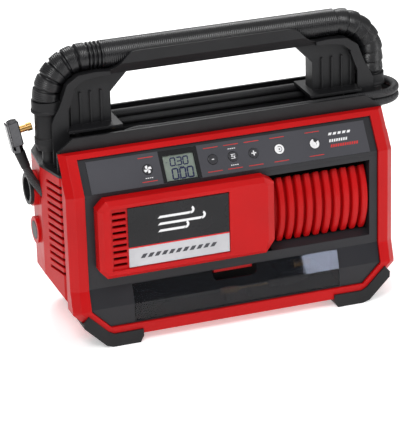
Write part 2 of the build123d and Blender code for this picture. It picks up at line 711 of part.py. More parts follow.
def chuck_lever():
    place, length = chuck_place(CHUCK_BASE, CHUCK_TOP)
    bar = Pos(0, LEVER_PIVOT + 0.2, length * 0.505) * Box(10, 1.4, length * 0.87)
    barrel = Pos(0, LEVER_PIVOT, length * 0.93) * Rot(0, 90, 0) * Cylinder(1.0, 10)
    return place * (bar + barrel)


# ---------------------------------------------------------------- drive


def compressor_motor():
    can = rod_x(18, -124, -64.2, DRIVE_Y, MOTOR_Z) + rod_x(7, -64.2, -60.5, DRIVE_Y, MOTOR_Z)
    return can - rod_x(2.5 + FIT, -130, -55, DRIVE_Y, MOTOR_Z)


def motor_shaft():
    pinion = gear_x(PINION_TEETH, math.pi / 2, -58, -50, DRIVE_Y, MOTOR_Z)
    return rod_x(2.5, -138, -46, DRIVE_Y, MOTOR_Z) + pinion


def cooling_fan():
    fan = rod_x(6, -136, -127, DRIVE_Y, MOTOR_Z)
    for blade in range(7):
        vane = block(-134, -129, DRIVE_Y - 2.5, DRIVE_Y + 2.5, MOTOR_Z + 5, MOTOR_Z + 18)
        fan += vane.rotate(Axis((0, DRIVE_Y, MOTOR_Z), (1, 0, 0)), 360 / 7 * blade)
    return fan - rod_x(2.5, -140, -120, DRIVE_Y, MOTOR_Z)


def crank_gear():
    phase = -math.pi / 2 + math.pi / GEAR_TEETH
    wheel = gear_x(GEAR_TEETH, phase, -58, -52, DRIVE_Y, CRANK_Z)
    wheel += rod_x(4, -68, -48, DRIVE_Y, CRANK_Z) + rod_x(9, -48, -44, DRIVE_Y, CRANK_Z)
    return wheel + rod_x(2, -44, CRANK_X + 3, DRIVE_Y, CRANK_Z + CRANK_OFFSET)


def gear_plate():
    plate = block(-64, -61, -50, 2, 70, 150) + block(-64, -61, -36, 2, BODY_LOW + WALL, 70)
    plate -= rod_x(7, -70, -55, DRIVE_Y, MOTOR_Z)
    return plate - rod_x(4 + FIT, -70, -55, DRIVE_Y, CRANK_Z)


def wobble_piston():
    low, high = CRANK_X - 3, CRANK_X + 3
    room = CRANK_OFFSET + 2.4
    eye = block(low, high, DRIVE_Y - room - 3, DRIVE_Y + room + 3, CRANK_Z - 14, CRANK_Z + 14)
    eye -= block(low - 1, high + 1, DRIVE_Y - room, DRIVE_Y + room, CRANK_Z - 11, CRANK_Z + 11)
    rod = block(low, high, DRIVE_Y - 3.5, DRIVE_Y + 3.5, CRANK_Z + 13, 142)
    return eye + rod + rod_z(11.95, 141, 150, CRANK_X, DRIVE_Y)


def cylinder():
    sleeve = rod_z(15, 136, 158, CRANK_X, DRIVE_Y) - rod_z(12, 130, 160, CRANK_X, DRIVE_Y)
    for z in (139, 144, 149, 154):
        sleeve += rod_z(17.5, z, z + 1.6, CRANK_X, DRIVE_Y) - rod_z(14.5, z - 1, z + 3, CRANK_X, DRIVE_Y)
    return sleeve


def cylinder_head():
    head = block(CRANK_X - 17, CRANK_X + 17, DRIVE_Y - 17, DRIVE_Y + 17, 158, 172)
    for fin in range(5):
        x = CRANK_X - 13 + fin * 6
        head -= block(x, x + 2.5, -60, 0, 168, 173)
    return head


def pressure_pipe():
    points = [
        (CRANK_X, DRIVE_Y + 17, 165), (CRANK_X, COIL_R, 165), (-100, COIL_R, 165), (-100, COIL_R, 178),
    ]
    pipe, _ = tube_along(points, [10, 8], 2.6)
    return pipe


# ---------------------------------------------------------------- battery


def battery_pack():
    half, front, low = POCKET
    pack = block(-PACK_HALF, PACK_HALF, front + 0.7, PACK_BACK, low + 2, PACK_HIGH)
    pack = chamfer(pack.edges().filter_by(Axis.Z).group_by(Axis.Y)[-1], 6)
    for side in (-1, 1):
        x_low, x_high = sorted((side * (half - 4.5), side * (half + 5)))
        pack -= block(x_low, x_high, 51.6, 55.4, low, 127)
    pack -= block(-15.5, 15.5, front, 51, low, 56)
    return pack - block(-13, 13, 77, PACK_BACK + 1, 122, 134)


def battery_button():
    return block(-12.6, 12.6, 79.6, PACK_BACK, 122.4, 133.6)


def battery_terminals():
    _, front, low = POCKET
    return block(-14, 14, front, 50, low + 4, 50)


# ---------------------------------------------------------------- assembly


def build():
    tail, tail_path = tube_along(TAIL, arc_radii(TAIL), CORD_R)
    tail_hole, _ = tube_along(TAIL, arc_radii(TAIL), CORD_R + 0.8)
    hose_points, hose_radii = hose_path()
    hose_room, _ = tube_along(hose_points, hose_radii, HOSE_R + 0.35)
    print("tail radii", [round(radius, 1) for radius in arc_radii(TAIL)])
    print("tail volume", round(tail.volume), "section x length", round(math.pi * CORD_R**2 * tail_path.length))
    parts["front_frame"] = front_frame()
    parts["front_housing"] = front_housing(tail_hole)
    parts["rear_housing"] = rear_housing(tail_hole)
    parts["screws"] = screws()
    for name, side in (("left", -1), ("right", 1)):
        parts[f"foot_front_{name}"] = foot_front(side)
    parts["feet_rear"] = feet_rear()
    parts["front_panel"] = front_panel()
    parts["control_panel"] = control_panel()
    parts["control_foil"] = control_foil()
    for name, x in BUTTON_X.items():
        parts[name] = button(x)
    parts["display_lens"] = display_lens()
    parts["display_module"] = display_module()
    parts["main_board"] = main_board()
    parts["nose_cover"] = nose_cover()
    parts["face_plate"] = face_plate()
    parts["rib_grille"] = rib_grille()
    parts["blower_housing"] = blower_housing()
    parts["blower_motor"] = blower_motor()
    parts["blower_impeller"] = blower_impeller()
    parts["duct_plenum"] = duct_plenum()
    parts["air_duct"] = air_duct()
    parts["blow_port"] = blow_port()
    parts["power_button"] = power_button()
    parts["compartment_tub"] = compartment_tub()
    parts["cover_latch"] = cover_latch()
    parts["compartment_cover"] = compartment_cover()
    parts.update(adapters())
    parts["top_tray"] = top_tray(tail_hole)
    parts["air_hose"] = air_hose()
    parts["hose_cuff_left"] = hose_cuff(CUFF_LEFT, CUFF_LEFT_TOP, 197)
    parts["hose_cuff_right"] = hose_cuff(CUFF_RIGHT, CUFF_RIGHT_TOP, 186)
    parts["carry_handle"] = carry_handle(hose_room)
    parts["hose_outlet"] = hose_outlet()
    parts["pressure_hose_coil"] = coil_solid(tail_hole)
    parts["pressure_hose_tail"] = tail
    parts["hose_strain_relief"] = strain_relief()
    parts["chuck_body"] = chuck_body()
    parts["chuck_nipple"] = chuck_nipple()
    parts["chuck_lever"] = chuck_lever()
    parts["compressor_motor"] = compressor_motor()
    parts["motor_shaft"] = motor_shaft()
    parts["cooling_fan"] = cooling_fan()
    parts["crank_gear"] = crank_gear()
    parts["gear_plate"] = gear_plate()
    parts["wobble_piston"] = wobble_piston()
    parts["cylinder"] = cylinder()
    parts["cylinder_head"] = cylinder_head()
    parts["pressure_pipe"] = pressure_pipe()
    parts["battery_pack"] = battery_pack()
    parts["battery_button"] = battery_button()
    parts["battery_terminals"] = battery_terminals()


build()
for name, shape in parts.items():
    export_step(shape, f"parts/{name}.step")
print(len(parts), "parts")
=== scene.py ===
import bpy
import json
import math
from mathutils import Matrix, Vector


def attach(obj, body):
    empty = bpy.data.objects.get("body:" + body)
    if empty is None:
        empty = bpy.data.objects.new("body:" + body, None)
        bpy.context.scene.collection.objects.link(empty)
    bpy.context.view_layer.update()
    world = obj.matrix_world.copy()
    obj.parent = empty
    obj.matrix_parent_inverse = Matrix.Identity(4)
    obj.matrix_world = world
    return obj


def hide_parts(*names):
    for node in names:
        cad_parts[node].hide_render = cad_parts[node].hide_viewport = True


# Looks of the cordless air compressor. Metres, +Z up, controls facing -Y; sizes named below are in millimetres.

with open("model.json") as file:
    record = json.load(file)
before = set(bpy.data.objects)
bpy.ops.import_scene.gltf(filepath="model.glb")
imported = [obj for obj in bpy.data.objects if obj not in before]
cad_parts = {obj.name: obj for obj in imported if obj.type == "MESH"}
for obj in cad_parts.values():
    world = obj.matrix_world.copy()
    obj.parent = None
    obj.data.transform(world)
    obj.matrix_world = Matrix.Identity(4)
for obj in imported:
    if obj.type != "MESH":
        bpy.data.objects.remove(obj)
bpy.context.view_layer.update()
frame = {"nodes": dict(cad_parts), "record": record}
nodes = frame["nodes"]

MM = 0.001

# View: where the camera stands in metres, its turn, tilt and roll in degrees, and its lens in millimetres.
CAMERA_AT = (-0.77094, -2.21376, 1.07412)
CAMERA_YAW = 19.0045
CAMERA_PITCH = 22.6048
CAMERA_ROLL = -1.6235
CAMERA_LENS = 204.27
FLOOR_GLOW = 0.42

# Control slope and face plate, as in the design: the slope is a plane through the nose of the panel.
SLOPE_TILT = math.atan2(24.9, 36.8)
SLOPE_ORIGIN = Vector((0, -67.0, 166.2)) * MM
FOIL_TOP = 0.5
PLATE_Y = -82.5
BUTTON_V = 17.2
BUTTON_TOP = 1.2
BUTTON_X = {
    "fan_button": -89.1,
    "minus_button": -18.9,
    "unit_button": 3.1,
    "plus_button": 25.7,
    "tyre_button": 53.8,
    "raft_button": 92.9,
}

# Corrugated hose: centre line and ribs, in millimetres.
HOSE_Z = 289.4
HOSE_LEFT = -175.5
HOSE_RIGHT = 179.0
HOSE_LEFT_LOW = 250.0
HOSE_RIGHT_LOW = 230.0
HOSE_BEND = HOSE_Z - HOSE_LEFT_LOW
HOSE_CREST = 14.7

# Stretches of the corrugated wall from the left cuff: kind, length, section length, rib pitch.
STRETCHES = [
    ("fold", 66.0, 11.0, 1.5),
    ("ring", 17.2, 4.3, 4.3),
    ("fine", 254.0, 12.7, 2.1),
    ("lap", 100.0, 11.4, 1.4),
]
GROOVE_DEPTH = {"fold": 0.4, "ring": 0.0, "fine": 0.55, "lap": 0.4}

# Pressure hose: two turns round the posts, then the tail to the chuck.
CORD_R = 4.25
COIL_LEFT = -128.0
COIL_RIGHT = 179.0
COIL_R = 28.5
COIL_LOW = 204.55
COIL_HIGH = 213.05
OUTLET_X = -94.0
TAIL = [
    (-75, -28.5, 212.8), (-90, -26, 213), (-102, -19.8, 207), (-111, -19.6, 195), (-119, -19.8, 179),
    (-126, -19, 163), (-134, -16.5, 147), (-146, -12, 134), (-163, -6.5, 131), (-179, -1.5, 142),
    (-187.5, 2, 154), (-194.7, 7.1, 165.7), (-198.5, 8.5, 177),
]


# ---------------------------------------------------------------- materials


def new_material(name):
    made = bpy.data.materials.new(name)
    made.use_nodes = True
    return made, made.node_tree, made.node_tree.nodes["Principled BSDF"]


def add(tree, kind, **values):
    node = tree.nodes.new(kind)
    for key, value in values.items():
        setattr(node, key, value)
    return node


def noise(tree, coords, scale, detail=3.0, stretch=(1, 1, 1)):
    place = add(tree, "ShaderNodeMapping")
    place.inputs["Scale"].default_value = stretch
    tree.links.new(coords, place.inputs["Vector"])
    cloud = add(tree, "ShaderNodeTexNoise")
    cloud.inputs["Scale"].default_value = scale
    cloud.inputs["Detail"].default_value = detail
    tree.links.new(place.outputs["Vector"], cloud.inputs["Vector"])
    return cloud.outputs["Fac"]


def remap(tree, value, low, high, out_low, out_high):
    node = add(tree, "ShaderNodeMapRange")
    node.inputs["From Min"].default_value = low
    node.inputs["From Max"].default_value = high
    node.inputs["To Min"].default_value = out_low
    node.inputs["To Max"].default_value = out_high
    tree.links.new(value, node.inputs["Value"])
    return node.outputs["Result"]


def mixed(tree, factor, first, second):
    """Blend of two colours, each a tuple or a socket, by a factor socket."""
    node = add(tree, "ShaderNodeMix", data_type="RGBA")
    tree.links.new(factor, node.inputs["Factor"])
    for value, socket in ((first, node.inputs["A"]), (second, node.inputs["B"])):
        if isinstance(value, tuple):
            socket.default_value = (*value, 1.0)
        else:
            tree.links.new(value, socket)
    return node.outputs["Result"]


def edge_mask(tree, radius):
    """Rounded normal near edges, and how far it turns from the true one."""
    bevel = add(tree, "ShaderNodeBevel", samples=4)
    bevel.inputs["Radius"].default_value = radius
    flat = add(tree, "ShaderNodeNewGeometry")
    dot = add(tree, "ShaderNodeVectorMath", operation="DOT_PRODUCT")
    tree.links.new(bevel.outputs["Normal"], dot.inputs[0])
    tree.links.new(flat.outputs["Normal"], dot.inputs[1])
    return bevel.outputs["Normal"], remap(tree, dot.outputs["Value"], 1.0, 0.72, 0.0, 1.0)


def moulded(
    name, colour, rough, grain=0.25, grain_scale=1400, spread=0.12, edge=0.0006, coat=0.0, edge_highlight=0.35, shine=0.3
):
    """Moulded plastic: slow colour drift, fine grain, softened edges with a painted highlight that lightens the
    colour along them.
    """
    made, tree, shader = new_material(name)
    coords = add(tree, "ShaderNodeTexCoord").outputs["Object"]
    normal, edges = edge_mask(tree, edge)
    drift = remap(tree, noise(tree, coords, 14.0, 4.0), 0.3, 0.7, 0.0, 1.0)
    dark = tuple(max(0.0, c * (1 - spread)) for c in colour)
    light = tuple(min(1.0, c * (1 + spread)) for c in colour)
    body = mixed(tree, drift, dark, light)
    # Painted highlight: the colour is lightened along every edge, by the share given as the ninth argument.
    edge_highlight_colour = tuple(min(1.0, c * 1.35 + 0.012) for c in colour)
    edge_highlight_share = remap(tree, edges, 0.0, 1.0, 0.0, edge_highlight)
    tree.links.new(mixed(tree, edge_highlight_share, body, edge_highlight_colour), shader.inputs["Base Color"])
    smudge = remap(tree, noise(tree, coords, 38.0, 5.0), 0.3, 0.7, rough - 0.05, rough + 0.07)
    tree.links.new(smudge, shader.inputs["Roughness"])
    bump = add(tree, "ShaderNodeBump")
    bump.inputs["Strength"].default_value = grain
    bump.inputs["Distance"].default_value = 0.00012
    tree.links.new(noise(tree, coords, grain_scale, 2.0), bump.inputs["Height"])
    tree.links.new(normal, bump.inputs["Normal"])
    tree.links.new(bump.outputs["Normal"], shader.inputs["Normal"])
    shader.inputs["Specular IOR Level"].default_value = shine
    shader.inputs["Coat Weight"].default_value = coat
    shader.inputs["Coat Roughness"].default_value = 0.12
    return made


def metal(name, colour, rough, brush=(1, 1, 1), brush_scale=500):
    """Machined or cast metal with tool marks and a painted highlight along its edges."""
    made, tree, shader = new_material(name)
    coords = add(tree, "ShaderNodeTexCoord").outputs["Object"]
    normal, edges = edge_mask(tree, 0.0003)
    drift = remap(tree, noise(tree, coords, 60.0, 4.0), 0.3, 0.7, 0.0, 1.0)
    dull = tuple(c * 0.72 for c in colour)
    body = mixed(tree, drift, dull, colour)
    # Painted highlight: the metal's colour is lightened along its edges.
    bright = tuple(min(1.0, c * 1.25) for c in colour)
    tree.links.new(mixed(tree, edges, body, bright), shader.inputs["Base Color"])
    marks = noise(tree, coords, brush_scale, 3.0, brush)
    tree.links.new(remap(tree, marks, 0.3, 0.7, rough - 0.08, rough + 0.1), shader.inputs["Roughness"])
    bump = add(tree, "ShaderNodeBump")
    bump.inputs["Strength"].default_value = 0.2
    bump.inputs["Distance"].default_value = 0.0001
    tree.links.new(marks, bump.inputs["Height"])
    tree.links.new(normal, bump.inputs["Normal"])
    tree.links.new(bump.outputs["Normal"], shader.inputs["Normal"])
    shader.inputs["Metallic"].default_value = 1.0
    return made


def clear_cover(name, tint, opacity, rough):
    """Thin clear plastic, lightly smoked, very slightly wavy."""
    made, tree, shader = new_material(name)
    coords = add(tree, "ShaderNodeTexCoord").outputs["Object"]
    haze = noise(tree, coords, 30.0, 4.0, (1, 1, 6))
    tree.links.new(remap(tree, haze, 0.3, 0.7, rough, rough + 0.04), shader.inputs["Roughness"])
    drift = remap(tree, noise(tree, coords, 12.0, 2.0), 0.3, 0.7, 0.0, 1.0)
    shade = mixed(tree, drift, tuple(c * 0.9 for c in tint), tint)
    tree.links.new(shade, shader.inputs["Base Color"])
    bump = add(tree, "ShaderNodeBump")
    bump.inputs["Strength"].default_value = 0.02
    bump.inputs["Distance"].default_value = 0.0001
    tree.links.new(noise(tree, coords, 24.0, 1.0), bump.inputs["Height"])
    tree.links.new(bump.outputs["Normal"], shader.inputs["Normal"])
    shader.inputs["Alpha"].default_value = opacity
    shader.inputs["IOR"].default_value = 1.49
    return made


def braided(name):
    """Rubber hose with a woven cover: crossed diagonal yarns."""
    made, tree, shader = new_material(name)
    coords = add(tree, "ShaderNodeTexCoord").outputs["Object"]
    yarns = None
    for stretch in ((1, 1, 1), (1, -1, 1)):
        place = add(tree, "ShaderNodeMapping")
        place.inputs["Scale"].default_value = stretch
        tree.links.new(coords, place.inputs["Vector"])
        wave = add(tree, "ShaderNodeTexWave", wave_type="BANDS", bands_direction="DIAGONAL")
        wave.inputs["Scale"].default_value = 260.0
        wave.inputs["Distortion"].default_value = 0.6
        tree.links.new(place.outputs["Vector"], wave.inputs["Vector"])
        if yarns is None:
            yarns = wave.outputs["Fac"]
        else:
            weave = add(tree, "ShaderNodeMath", operation="MULTIPLY")
            tree.links.new(yarns, weave.inputs[0])
            tree.links.new(wave.outputs["Fac"], weave.inputs[1])
            yarns = weave.outputs["Value"]
    body = mixed(tree, yarns, (0.008, 0.008, 0.009), (0.045, 0.045, 0.048))
    tree.links.new(body, shader.inputs["Base Color"])
    tree.links.new(remap(tree, yarns, 0.0, 1.0, 0.6, 0.42), shader.inputs["Roughness"])
    bump = add(tree, "ShaderNodeBump")
    bump.inputs["Strength"].default_value = 0.7
    bump.inputs["Distance"].default_value = 0.0004
    tree.links.new(yarns, bump.inputs["Height"])
    tree.links.new(bump.outputs["Normal"], shader.inputs["Normal"])
    return made


def face_plate_finish():
    """Printed plate: dark above, a thin red line, light grey below."""
    made, tree, shader = new_material("face_plate_print")
    coords = add(tree, "ShaderNodeTexCoord").outputs["Object"]
    split = add(tree, "ShaderNodeSeparateXYZ")
    tree.links.new(coords, split.inputs["Vector"])
    height = split.outputs["Z"]
    soft = remap(tree, noise(tree, coords, 20.0, 3.0), 0.3, 0.7, 0.0, 1.0)
    dark = mixed(tree, soft, (0.008, 0.008, 0.009), (0.014, 0.014, 0.016))
    pale = mixed(tree, soft, (0.46, 0.46, 0.48), (0.56, 0.56, 0.58))
    above_line = remap(tree, height, 0.1092, 0.10925, 0.0, 1.0)
    above_pale = remap(tree, height, 0.1078, 0.10785, 0.0, 1.0)
    lower = mixed(tree, above_pale, pale, (0.62, 0.012, 0.016))
    tree.links.new(mixed(tree, above_line, lower, dark), shader.inputs["Base Color"])
    smudge = remap(tree, noise(tree, coords, 60.0, 4.0), 0.3, 0.7, 0.2, 0.32)
    tree.links.new(smudge, shader.inputs["Roughness"])
    bump = add(tree, "ShaderNodeBump")
    bump.inputs["Strength"].default_value = 0.12
    bump.inputs["Distance"].default_value = 0.0001
    tree.links.new(noise(tree, coords, 1600.0, 2.0), bump.inputs["Height"])
    tree.links.new(bump.outputs["Normal"], shader.inputs["Normal"])
    shader.inputs["Specular IOR Level"].default_value = 0.25
    return made


def display_finish():
    """Unlit liquid crystal: grey-green with fine grain."""
    made, tree, shader = new_material("display_crystal")
    coords = add(tree, "ShaderNodeTexCoord").outputs["Object"]
    soft = remap(tree, noise(tree, coords, 40.0, 3.0), 0.3, 0.7, 0.0, 1.0)
    tree.links.new(mixed(tree, soft, (0.17, 0.21, 0.18), (0.22, 0.26, 0.22)), shader.inputs["Base Color"])
    grain = noise(tree, coords, 2500.0, 1.0)
    tree.links.new(remap(tree, grain, 0.3, 0.7, 0.3, 0.45), shader.inputs["Roughness"])
    return made


# The ninth number of each moulded finish is the share of painted highlight along its edges.
RED = moulded("red_moulding", (0.47, 0.002, 0.003), 0.38, 0.3, 1500, 0.07, 0.0010, 0.0, 0.5, 0.2)
BLACK = moulded("black_moulding", (0.010, 0.010, 0.011), 0.42, 0.4, 1300, 0.15, 0.0009)
PANEL = moulded("panel_moulding", (0.017, 0.017, 0.020), 0.36, 0.4, 1500, 0.12, 0.0008)
GLOSS = moulded("black_gloss", (0.006, 0.006, 0.007), 0.16, 0.06, 900, 0.1, 0.0005, 0.0, 0.35, 0.4)
GREY = moulded("grey_moulding", (0.10, 0.10, 0.105), 0.45, 0.3, 1200)
RUBBER = moulded("soft_rubber", (0.010, 0.010, 0.011), 0.55, 0.5, 900, 0.2, 0.0012)
FOIL = moulded("printed_foil", (0.055, 0.055, 0.064), 0.34, 0.3, 2200, 0.08, 0.0002, 0.05)
# Keys take a full share, a painted highlight ring round each key.
KEY = moulded("key_cap", (0.035, 0.035, 0.040), 0.28, 0.1, 1800, 0.1, 0.0009, 0.2, 1.0)
HOSE = moulded("hose_plastic", (0.006, 0.006, 0.007), 0.29, 0.15, 800, 0.2, 0.0002, shine=0.45)
BOARD = moulded("board_lacquer", (0.01, 0.09, 0.03), 0.3, 0.2, 900)
BRAID = braided("hose_braid")
BRASS = metal("turned_brass", (0.66, 0.40, 0.14), 0.26, (1, 1, 1), 700)
STEEL = metal("machined_steel", (0.50, 0.50, 0.52), 0.32, (6, 1, 1), 400)
DARK_METAL = metal("dark_chrome", (0.10, 0.10, 0.105), 0.18, (1, 1, 1), 300)
CAST = metal("cast_aluminium", (0.56, 0.57, 0.58), 0.45, (1, 1, 1), 300)
SMOKED = clear_cover("smoked_cover", (0.006, 0.007, 0.010), 0.50, 0.005)
LENS = clear_cover("display_lens_clear", (0.02, 0.02, 0.02), 0.04, 0.02)
WHITE_INK = moulded("white_ink", (0.78, 0.78, 0.79), 0.4, 0.05, 2500, 0.04, 0.00005)
RED_INK = moulded("red_ink", (0.56, 0.03, 0.03), 0.4, 0.05, 2500, 0.05, 0.00005)
BLUE_INK = moulded("segment_ink", (0.004, 0.006, 0.06), 0.4, 0.05, 2500, 0.05, 0.00005)

FINISHES = {
    "red_plastic": RED,
    "black_plastic": BLACK,
    "grey_plastic": GREY,
    "black_rubber": RUBBER,
    "foil": FOIL,
    "clear_plastic": SMOKED,
    "circuit_board": BOARD,
    "hose_plastic": HOSE,
    "hose_fabric": BRAID,
    "brass": BRASS,
    "steel": STEEL,
    "cast_aluminium": CAST,
}
SPECIAL = {
    "face_plate": face_plate_finish(),
    "display_module": display_finish(),
    "display_lens": LENS,
    "front_panel": PANEL,
    "control_panel": PANEL,
    "chuck_body": DARK_METAL,
    "chuck_lever": DARK_METAL,
    "screws": DARK_METAL,
    "power_button": BLACK,
    "cone_nozzle": RUBBER,
    **{name: KEY for name in BUTTON_X},
}


def paint_nodes():
    for entry in frame["record"]["subparts"]:
        name = entry["node"]
        finish = SPECIAL.get(name, FINISHES[entry["material_slot"]])
        node = nodes[name]
        for index in range(len(node.data.materials)):
            node.material_slots[index].material = finish


# ---------------------------------------------------------------- meshes


def mesh_object(name, verts, faces, finish, body):
    mesh = bpy.data.meshes.new(name)
    mesh.from_pydata(verts, [], faces)
    mesh.validate()
    piece = bpy.data.objects.new(name, mesh)
    bpy.context.collection.objects.link(piece)
    mesh.materials.append(finish)
    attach(piece, body)
    return piece


def slope_point(x, v, w):
    """A place on the control slope, from millimetres: across, up the slope and out of it."""
    sine, cosine = math.sin(SLOPE_TILT), math.cos(SLOPE_TILT)
    return SLOPE_ORIGIN + Vector((x, v * sine - w * cosine, v * cosine + w * sine)) * MM


def plate_point(x, z, w):
    """A place on the face plate's front, from millimetres."""
    return Vector((x, PLATE_Y - w, z)) * MM


def thicken(flat, place, low, high):
    """Flat loops of (u, v) points pulled into thin plates between two levels."""
    verts, faces = [], []
    for loop in flat:
        start, count = len(verts), len(loop)
        verts += [place(u, v, low) for u, v in loop]
        verts += [place(u, v, high) for u, v in loop]
        faces.append([start + count + i for i in range(count)])
        for i in range(count):
            j = (i + 1) % count
            faces.append([start + i, start + j, start + count + j, start + count + i])
    return verts, faces


def bar(x, v, width, height, lean=0.0):
    """A rectangle round (x, v), leaning to the right by the given amount at its top."""
    half, rise = width / 2, height / 2
    return [
        (x - half - lean, v - rise), (x + half - lean, v - rise),
        (x + half + lean, v + rise), (x - half + lean, v + rise),
    ]


def disc(x, v, radius, sides=28):
    return [
        (x + radius * math.cos(2 * math.pi * k / sides), v + radius * math.sin(2 * math.pi * k / sides))
        for k in range(sides)
    ]


def arc_band(x, v, inner, outer, start, end, steps=14):
    """Short quads that make a band of a ring, angles in degrees."""
    loops = []
    for k in range(steps):
        a = math.radians(start + (end - start) * k / steps)
        b = math.radians(start + (end - start) * (k + 1) / steps)
        loops.append([
            (x + radius * math.cos(angle), v + radius * math.sin(angle))
            for radius, angle in ((inner, a), (outer, a), (outer, b), (inner, b))
        ])
    return loops


def marks(name, loops, place, low, finish, body, slot, thick=0.08):
    verts, faces = thicken(loops, place, low, low + thick)
    return mesh_object(name, verts, faces, finish, body)


# ---------------------------------------------------------------- control panel marks


def blade(x, v, turn):
    """One curved fan blade."""
    loop = []
    for radius, swing in ((1.0, 0), (2.4, -22), (4.2, -18), (4.3, 18), (2.8, 40), (1.2, 60)):
        angle = math.radians(turn + swing)
        loop.append((x + radius * math.cos(angle), v + radius * math.sin(angle)))
    return loop


def key_marks():
    """White symbols on the round keys: fan, less, unit, more, tyre and raft."""
    v = BUTTON_V
    x = BUTTON_X
    fan = [blade(x["fan_button"], v, turn) for turn in (20, 110, 200, 290)] + [disc(x["fan_button"], v, 0.7)]
    less = [bar(x["minus_button"], v, 2.6, 0.9)]
    more = [bar(x["plus_button"], v, 5.2, 1.3), bar(x["plus_button"], v, 1.3, 5.2)]
    unit = [bar(x["unit_button"], v + rise, 4.8, 0.6) for rise in (-2.1, 0.0, 2.1)]
    unit += [bar(x["unit_button"] + side * 1.2, v - side * 1.05, 0.8, 1.4) for side in (-1, 1)]
    tyre = arc_band(x["tyre_button"], v, 3.1, 5.1, 0, 360, 36)
    tyre += arc_band(x["tyre_button"], v, 0.9, 2.5, 0, 360, 20)
    tyre += arc_band(x["tyre_button"], v, 2.4, 3.2, 120, 245, 12)
    raft = arc_band(x["raft_button"], v, 2.2, 5.1, 100, 395, 36)
    raft += [disc(x["raft_button"] - 0.6, v - 0.4, 2.3)]
    for name, loops in (
        ("fan_button", fan), ("minus_button", less), ("unit_button", unit),
        ("plus_button", more), ("tyre_button", tyre), ("raft_button", raft),
    ):
        symbol = name.replace("button", "symbol")
        marks(symbol, loops, slope_point, BUTTON_TOP, WHITE_INK, name, "grey_plastic")


def foil_marks():
    """Short red dashes above and below the keys, and a plain pattern at the right."""
    dashes = [bar(x, v, 16.0, 0.75) for x in BUTTON_X.values() for v in (4.6, 29.8)]
    marks("foil_dashes", dashes, slope_point, FOIL_TOP, RED_INK, "housing", "foil")
    rows = (("fan_button", 8.2), ("unit_button", 8.2), ("unit_button", 25.6))
    ticks = [bar(BUTTON_X[name] + 2.2 * k, v, 1.4, 0.9) for name, v in rows for k in (-1.5, -0.5, 0.5, 1.5)]
    marks("foil_ticks", ticks, slope_point, FOIL_TOP, WHITE_INK, "housing", "foil")
    plain = [bar(112 + 5.2 * k, 25.0, 3.4, 2.6, 0.7) for k in range(5)]
    plain += [bar(110.5 + 2.6 * k, 17.8, 1.7, 3.0, 0.5) for k in range(8)]
    marks("foil_pattern", plain, slope_point, FOIL_TOP, WHITE_INK, "housing", "foil")
    lower = [bar(111.0 + 2.6 * k, 12.2, 1.7, 3.0, 0.5) for k in range(12)]
    marks("foil_pattern_red", lower, slope_point, FOIL_TOP, RED_INK, "housing", "foil")


SEGMENTS = {"0": "abcdef", "3": "abcdg"}
FIGURES_LEFT = -63.6
CRYSTAL_TOP = -0.98
LENS_TOP = 0.62


def digit(figure, x, v, width, height, thick):
    """Seven-segment figure with its lower left corner at (x, v)."""
    half = height / 2
    lean = 0.25
    across = {"a": height, "g": half, "d": 0.0}
    upright = {"f": (0.0, half), "b": (width, half), "e": (0.0, 0.0), "c": (width, 0.0)}
    loops = []
    for part in SEGMENTS[figure]:
        if part in across:
            level = across[part]
            shift = width / 2 + lean * (level / half - 1)
            loops.append(bar(x + shift, v + level, width - 0.5 * thick, thick))
        else:
            place, foot = upright[part]
            middle = foot + half / 2
            shift = place + lean * (middle / half - 1)
            loops.append(bar(x + shift, v + middle, thick, half - 0.3 * thick, lean / 2))
    return loops


def display_marks():
    """Two rows of figures, their unit ticks and the black border of the display."""
    loops = []
    for row, tall, pitch, thick, figures in ((17.4, 8.0, 6.9, 1.3, "030"), (3.4, 10.6, 8.1, 1.6, "000")):
        for place, figure in enumerate(figures):
            loops += digit(figure, FIGURES_LEFT + place * pitch, row, 0.72 * pitch, tall, thick)
        loops.append(disc(FIGURES_LEFT + 0.86 * pitch, row, 0.6, 12))
    loops += [bar(-55.8 + 1.6 * k, 15.2, 1.0, 0.8) for k in range(4)] + [bar(-67.6, 21.4, 1.6, 0.5, 0.4)]
    marks("display_figures", loops, slope_point, CRYSTAL_TOP, BLUE_INK, "housing", "clear_plastic")
    border = [bar(-73.3, 17.2, 3.8, 33.6), bar(-35.7, 17.2, 3.8, 33.6), bar(-54.5, 31.1, 33.8, 5.8)]
    border += [bar(-54.5, 1.1, 33.8, 1.4)]
    marks("display_border", border, slope_point, LENS_TOP, GLOSS, "housing", "black_plastic")


def plate_marks():
    """Generic air-flow glyph on the dark part of the face plate and ticks on the pale part."""
    loops = []
    left = -87.0
    for row, reach in ((137.5, 34), (130.0, 46), (122.5, 28)):
        loops.append(bar(left + reach / 2, row, reach, 2.6, 1.3))
        loops += arc_band(left + reach, row + 3.0, 1.9, 4.4, -90, 60, 8)
    marks("plate_glyph", loops, plate_point, 0.0, WHITE_INK, "housing", "foil")
    ticks = [bar(-104 + 7.5 * k, 98.0, 4.6, 4.4, 1.6) for k in range(11)]
    marks("plate_ticks", ticks, plate_point, 0.0, FOIL, "housing", "foil")


# ---------------------------------------------------------------- corrugated hose


def hose_place(s):
    """Point and unit direction of the hose's centre line at length s, in millimetres."""
    arc = HOSE_BEND * math.pi / 2
    flat = HOSE_RIGHT - HOSE_LEFT - 2 * HOSE_BEND
    if s < arc:
        a = s / HOSE_BEND
        point = (HOSE_LEFT + HOSE_BEND * (1 - math.cos(a)), HOSE_LEFT_LOW + HOSE_BEND * math.sin(a))
        return point, (math.sin(a), math.cos(a))
    if s < arc + flat:
        return (HOSE_LEFT + HOSE_BEND + s - arc, HOSE_Z), (1.0, 0.0)
    if s < 2 * arc + flat:
        a = (s - arc - flat) / HOSE_BEND
        point = (HOSE_RIGHT - HOSE_BEND * (1 - math.sin(a)), HOSE_Z - HOSE_BEND * (1 - math.cos(a)))
        return point, (math.cos(a), -math.sin(a))
    return (HOSE_RIGHT, HOSE_Z - HOSE_BEND - (s - 2 * arc - flat)), (0.0, -1.0)


